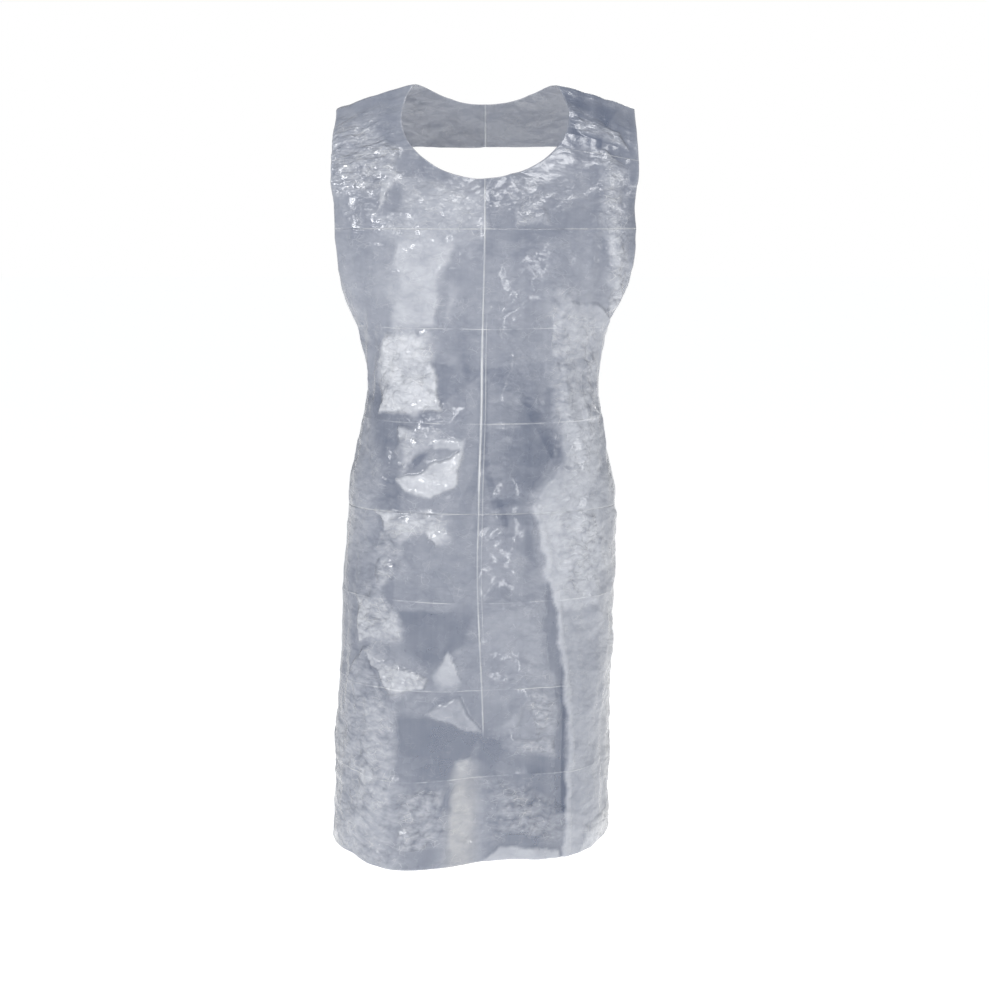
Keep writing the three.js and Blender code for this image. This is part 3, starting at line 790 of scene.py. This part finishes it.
def new_material(name):
    material = bpy.data.materials.new(name)
    material.use_nodes = True
    tree = material.node_tree
    shader = next(node for node in tree.nodes if node.type == "BSDF_PRINCIPLED")
    return material, tree, shader


def connect(tree, shader, **flows):
    for key, flow in flows.items():
        tree.links.new(flow.socket, shader.inputs[key.replace("_", " ")])


# Where each whitened crease line, partly painted highlight, and the painted highlight down the centre crease
# start to fade, and where each has gone, to each side of its middle
CROSS_LINE = (0.0002, 0.0013)
CENTRE_LINE, CENTRE_HIGHLIGHT = (0.0004, 0.0016), (0.0008, 0.0026)
SECOND_LINE, SECOND_LINE_OFFSET = (0.0002, 0.0012), 0.0050


def line_at(distance, near, far):
    """1 where the distance is under near, falling to 0 at far."""
    return 1 - abs(distance).stepped(near, far)


def crease_lines(flat, s, h):
    """The whitened lines of the packet's folds, partly painted highlight, with a wider painted highlight down
    the centre crease, broken here and there.
    """
    across = line_at(flat.maths("PINGPONG", h, FOLD / 2), *CROSS_LINE)
    across = across * (1 - h.stepped(5.4 * FOLD, 5.5 * FOLD)) * h.stepped(0.4 * FOLD, 0.5 * FOLD)
    for height in FOLD_HEIGHTS[5:]:
        across = across + line_at(h - height, *CROSS_LINE)
    broken = flat.texture(15, 4, 0.65, 0.5).stepped(0.38, 0.66)
    run = s - (1 - h.stepped(0.12, 0.42)) * TWIST
    # painted highlight down the centre crease, only between these heights
    highlight_band = h.stepped(0.46, 0.52) * (1 - h.stepped(0.66, 0.70))
    centre = line_at(run, *CENTRE_LINE) + line_at(run, *CENTRE_HIGHLIGHT) * highlight_band * 0.7
    second = line_at(run - SECOND_LINE_OFFSET, *SECOND_LINE)
    second = second * h.stepped(0.28, 0.34) * (1 - h.stepped(0.68, 0.72))
    centre = (centre + second * 0.6) * h.stepped(0.16, 0.19) * (0.45 + 0.55 * broken)
    return (across * broken * 0.7 + centre * 0.85).clamped()


# How far the crinkle in the material seems to stand out, and how solid each face of the film is
BUMP = 0.0032
FILM_OPACITY, TIE_OPACITY = 0.74, 0.84


def film_material(name, alpha, packed):
    """Thin milky film: darker where it clings, whiter where it stands loose, creased or doubled, with painted
    highlights on its loose patches and creases and painted glints on its crinkles.

    packed is 1 where the film shows its packet's creases and the tones of its places, and 0 where not."""
    material, tree, shader = new_material(name)
    start = Flow(tree)
    flat = start.node("ShaderNodeAttribute", {"attribute_name": "flat"}, {}, 1)
    state = start.node("ShaderNodeAttribute", {"attribute_name": "state"}, {}, 1)
    milk, crumple, rim = (state.part(i) for i in range(3))
    s, h = flat.part(0), flat.part(1)
    cloud = flat.texture(13, 4, 0.6)
    drawn = flat.scaled(1, 0.05, 1).texture(120, 3, 0.65)
    bent = flat.wandering(40, 0.012)
    broad = bent.crushed(48, 0.5, "CHEBYCHEV")
    small = bent.crushed(105, 1.9, "MANHATTAN")
    tiny = bent.crushed(230, 1.1, "CHEBYCHEV")
    creases = crease_lines(flat, s, h) * packed
    # painted glints along thin crinkle ridges, which the bump also raises
    painted_glint_ridges = (bent.cracks(40, 0.7, 0.035) + bent.cracks(85, 2.0, 0.05)).clamped()
    painted_glint_ridges = painted_glint_ridges * flat.texture(52, 3).stepped(0.52, 0.60) * (crumple * 0.90 + 0.12)
    gap = line_at(s + 0.010, 0.010, 0.030) * (1 - h.stepped(0.10, 0.17))
    side = abs(s).stepped(0.16, 0.26) * (1 - h.stepped(0.52, 0.64))
    milky = ((side + gap).clamped() * packed).colour(MILKY, MILKY_SIDE)

    # painted glints: each crushed facet lighter towards the top of its peak, more where crumpled
    painted_glints = (0.50 - broad) * 0.46 + (0.55 - small) * 0.26 + (0.5 - tiny) * 0.12
    white = milk + (cloud - 0.5) * 0.16 + (drawn - 0.5) * 0.13 * (1 - crumple)
    white = white + painted_glints * crumple + rim * 0.25
    colour = white.clamped().colour(DEEP, milky)
    # painted highlights on the crease lines and painted glints on the crinkle ridges, with partly whitened
    # film on the creases
    colour = (creases * 0.6 + painted_glint_ridges * 0.45).clamped().colour(colour, CREASE_AND_GLINT_WHITE)
    height = (broad * 1.0 + small * 0.55 + tiny * 0.22) * (crumple * 0.92 + 0.05)
    height = height + drawn * 0.05 + creases * 0.3 + painted_glint_ridges * 0.12
    bump = start.node("ShaderNodeBump", {}, {"Strength": 1.0, "Distance": BUMP, "Height": height})
    rough = (0.23 + 0.10 * cloud - 0.06 * crumple).clamped()
    sheer = (milk * 0.10 + creases * 0.15 + alpha - (cloud - 0.5) * 0.1).clamped()
    connect(tree, shader, Base_Color=colour, Roughness=rough, Alpha=sheer, Normal=bump)
    shader.inputs["IOR"].default_value = 1.5
    shader.inputs["Specular IOR Level"].default_value = 0.6
    shader.inputs["Coat Weight"].default_value = 0.5
    shader.inputs["Coat Roughness"].default_value = 0.09
    return material


# ---------------------------------------------------------------- light, floor and camera

CAMERA_PLACE = Vector((0.012, -2.615, -0.161))
CAMERA_PITCH = math.radians(8)
VIEW_ANGLE = math.radians(27.8)
FLOOR_GLOW, SURROUND_LIGHT = 0.68, 0.36
CHEST_MIDDLE, BODY_MIDDLE = (0, 0, -0.4), (0, 0, -0.5)


def make_camera():
    data = bpy.data.cameras.new("camera")
    data.sensor_fit = "HORIZONTAL"
    data.sensor_width = 36
    data.lens = data.sensor_width / 2 / math.tan(VIEW_ANGLE / 2)
    camera = bpy.data.objects.new("camera", data)
    camera.location = CAMERA_PLACE
    camera.rotation_euler = (math.pi / 2 - CAMERA_PITCH, 0, 0)
    bpy.context.scene.collection.objects.link(camera)
    bpy.context.scene.camera = camera


def area_light(name, place, target, size, power):
    data = bpy.data.lights.new(name, "AREA")
    data.shape = "RECTANGLE"
    data.size, data.size_y = size
    data.energy = power
    light = bpy.data.objects.new(name, data)
    light.location = place
    light.rotation_euler = (Vector(target) - Vector(place)).to_track_quat("-Z", "Y").to_euler()
    bpy.context.scene.collection.objects.link(light)


def make_stage():
    """A large white floor, and a white surround that the camera sees and a softer one that lights."""
    bm = bmesh.new()
    bmesh.ops.create_grid(bm, x_segments=1, y_segments=1, size=40)
    bmesh.ops.translate(bm, verts=bm.verts, vec=(0, 0, FLOOR_Z))
    floor = smooth_object("floor", bm)
    material, tree, shader = new_material("floor white")
    shader.inputs["Base Color"].default_value = (0.90, 0.90, 0.90, 1)
    shader.inputs["Roughness"].default_value = 0.9
    shader.inputs["Emission Color"].default_value = (1, 1, 1, 1)
    shader.inputs["Emission Strength"].default_value = FLOOR_GLOW
    floor.data.materials.append(material)
    world = bpy.data.worlds.new("studio")
    bpy.context.scene.world = world
    world.use_nodes = True
    tree = world.node_tree
    tree.nodes.clear()
    start = Flow(tree)
    seen = start.node("ShaderNodeLightPath", {}, {}, 0)
    white = start.node("ShaderNodeBackground", {}, {"Color": (1, 1, 1, 1), "Strength": 1.0})
    soft = start.node("ShaderNodeBackground", {}, {"Color": (0.96, 0.98, 1, 1), "Strength": SURROUND_LIGHT})
    both = start.node("ShaderNodeMixShader", {}, {0: seen, 1: soft, 2: white})
    start.node("ShaderNodeOutputWorld", {}, {"Surface": both})


# ---------------------------------------------------------------- the apron

def declare(piece):
    """Reads a film piece's places on the flat sheet into an array."""
    mesh = piece.data
    flat = np.zeros(len(mesh.vertices) * 3)
    mesh.attributes["flat"].data.foreach_get("vector", flat)


make_camera()
make_stage()
area_light("key", (-2.1, -1.9, 1.0), CHEST_MIDDLE, size=(0.5, 0.9), power=38)
area_light("fill", (2.3, -1.3, 0.3), BODY_MIDDLE, size=(0.4, 1.4), power=13)
area_light("top", (0.3, -1.0, 1.9), CHEST_MIDDLE, size=(0.9, 0.5), power=18)
area_light("near left", (-1.0, -2.4, 0.35), BODY_MIDDLE, size=(0.12, 0.60), power=6)
area_light("low right", (0.9, -2.4, -0.9), BODY_MIDDLE, size=(0.12, 0.60), power=3.5)
area_light("behind", (0.6, 2.4, 0.6), BODY_MIDDLE, size=(1.6, 1.6), power=26)
bpy.context.scene.view_settings.view_transform = "Standard"

film = film_material("apron film", FILM_OPACITY, 1)
tie_film = film_material("tie film", TIE_OPACITY, 0)

bib = make_front("bib", BIB_GRID, FLAP_TOP, BIB_TOP)
skirt = make_front("skirt", SKIRT_GRID, 0, FLAP_TOP)
yoke = make_yoke("yoke")
signs = {"left": 1, "right": -1}
sides = {side: make_side(f"{side}_side", sign) for side, sign in signs.items()}
ties = {side: make_waist_tie(side, sign) for side, sign in signs.items()}
loops = {side: make_bow_loop(side, sign) for side, sign in signs.items()}
tails = {side: make_tail(side, sign) for side, sign in signs.items()}
knot = make_knot()

for piece in (bib, skirt, yoke, *sides.values()):
    piece.data.materials.append(film)
for piece in (*ties.values(), *loops.values(), *tails.values(), knot):
    piece.data.materials.append(tie_film)

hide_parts("bib_panel", "skirt_yoke")
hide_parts("skirt_front")
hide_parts("left_shoulder_strap", "right_shoulder_strap", "left_rear_strap", "right_rear_strap",
            "rear_neck_band")
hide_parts("bow_knot")
for piece in (bib, skirt, knot):
    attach(piece, "front")
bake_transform(yoke)
declare(bib)
declare(skirt)
declare(yoke)
for side in sides:
    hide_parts(f"{side}_skirt_flap")
    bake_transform(sides[side])
    declare(sides[side])
    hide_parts(f"{side}_waist_tie")
    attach(ties[side], "front")
    declare(ties[side])
    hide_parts(f"{side}_bow_loop")
    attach(loops[side], f"{side}_loop")
    declare(loops[side])
    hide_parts(f"{side}_tie_tail")
    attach(tails[side], f"{side}_tail")
    declare(tails[side])
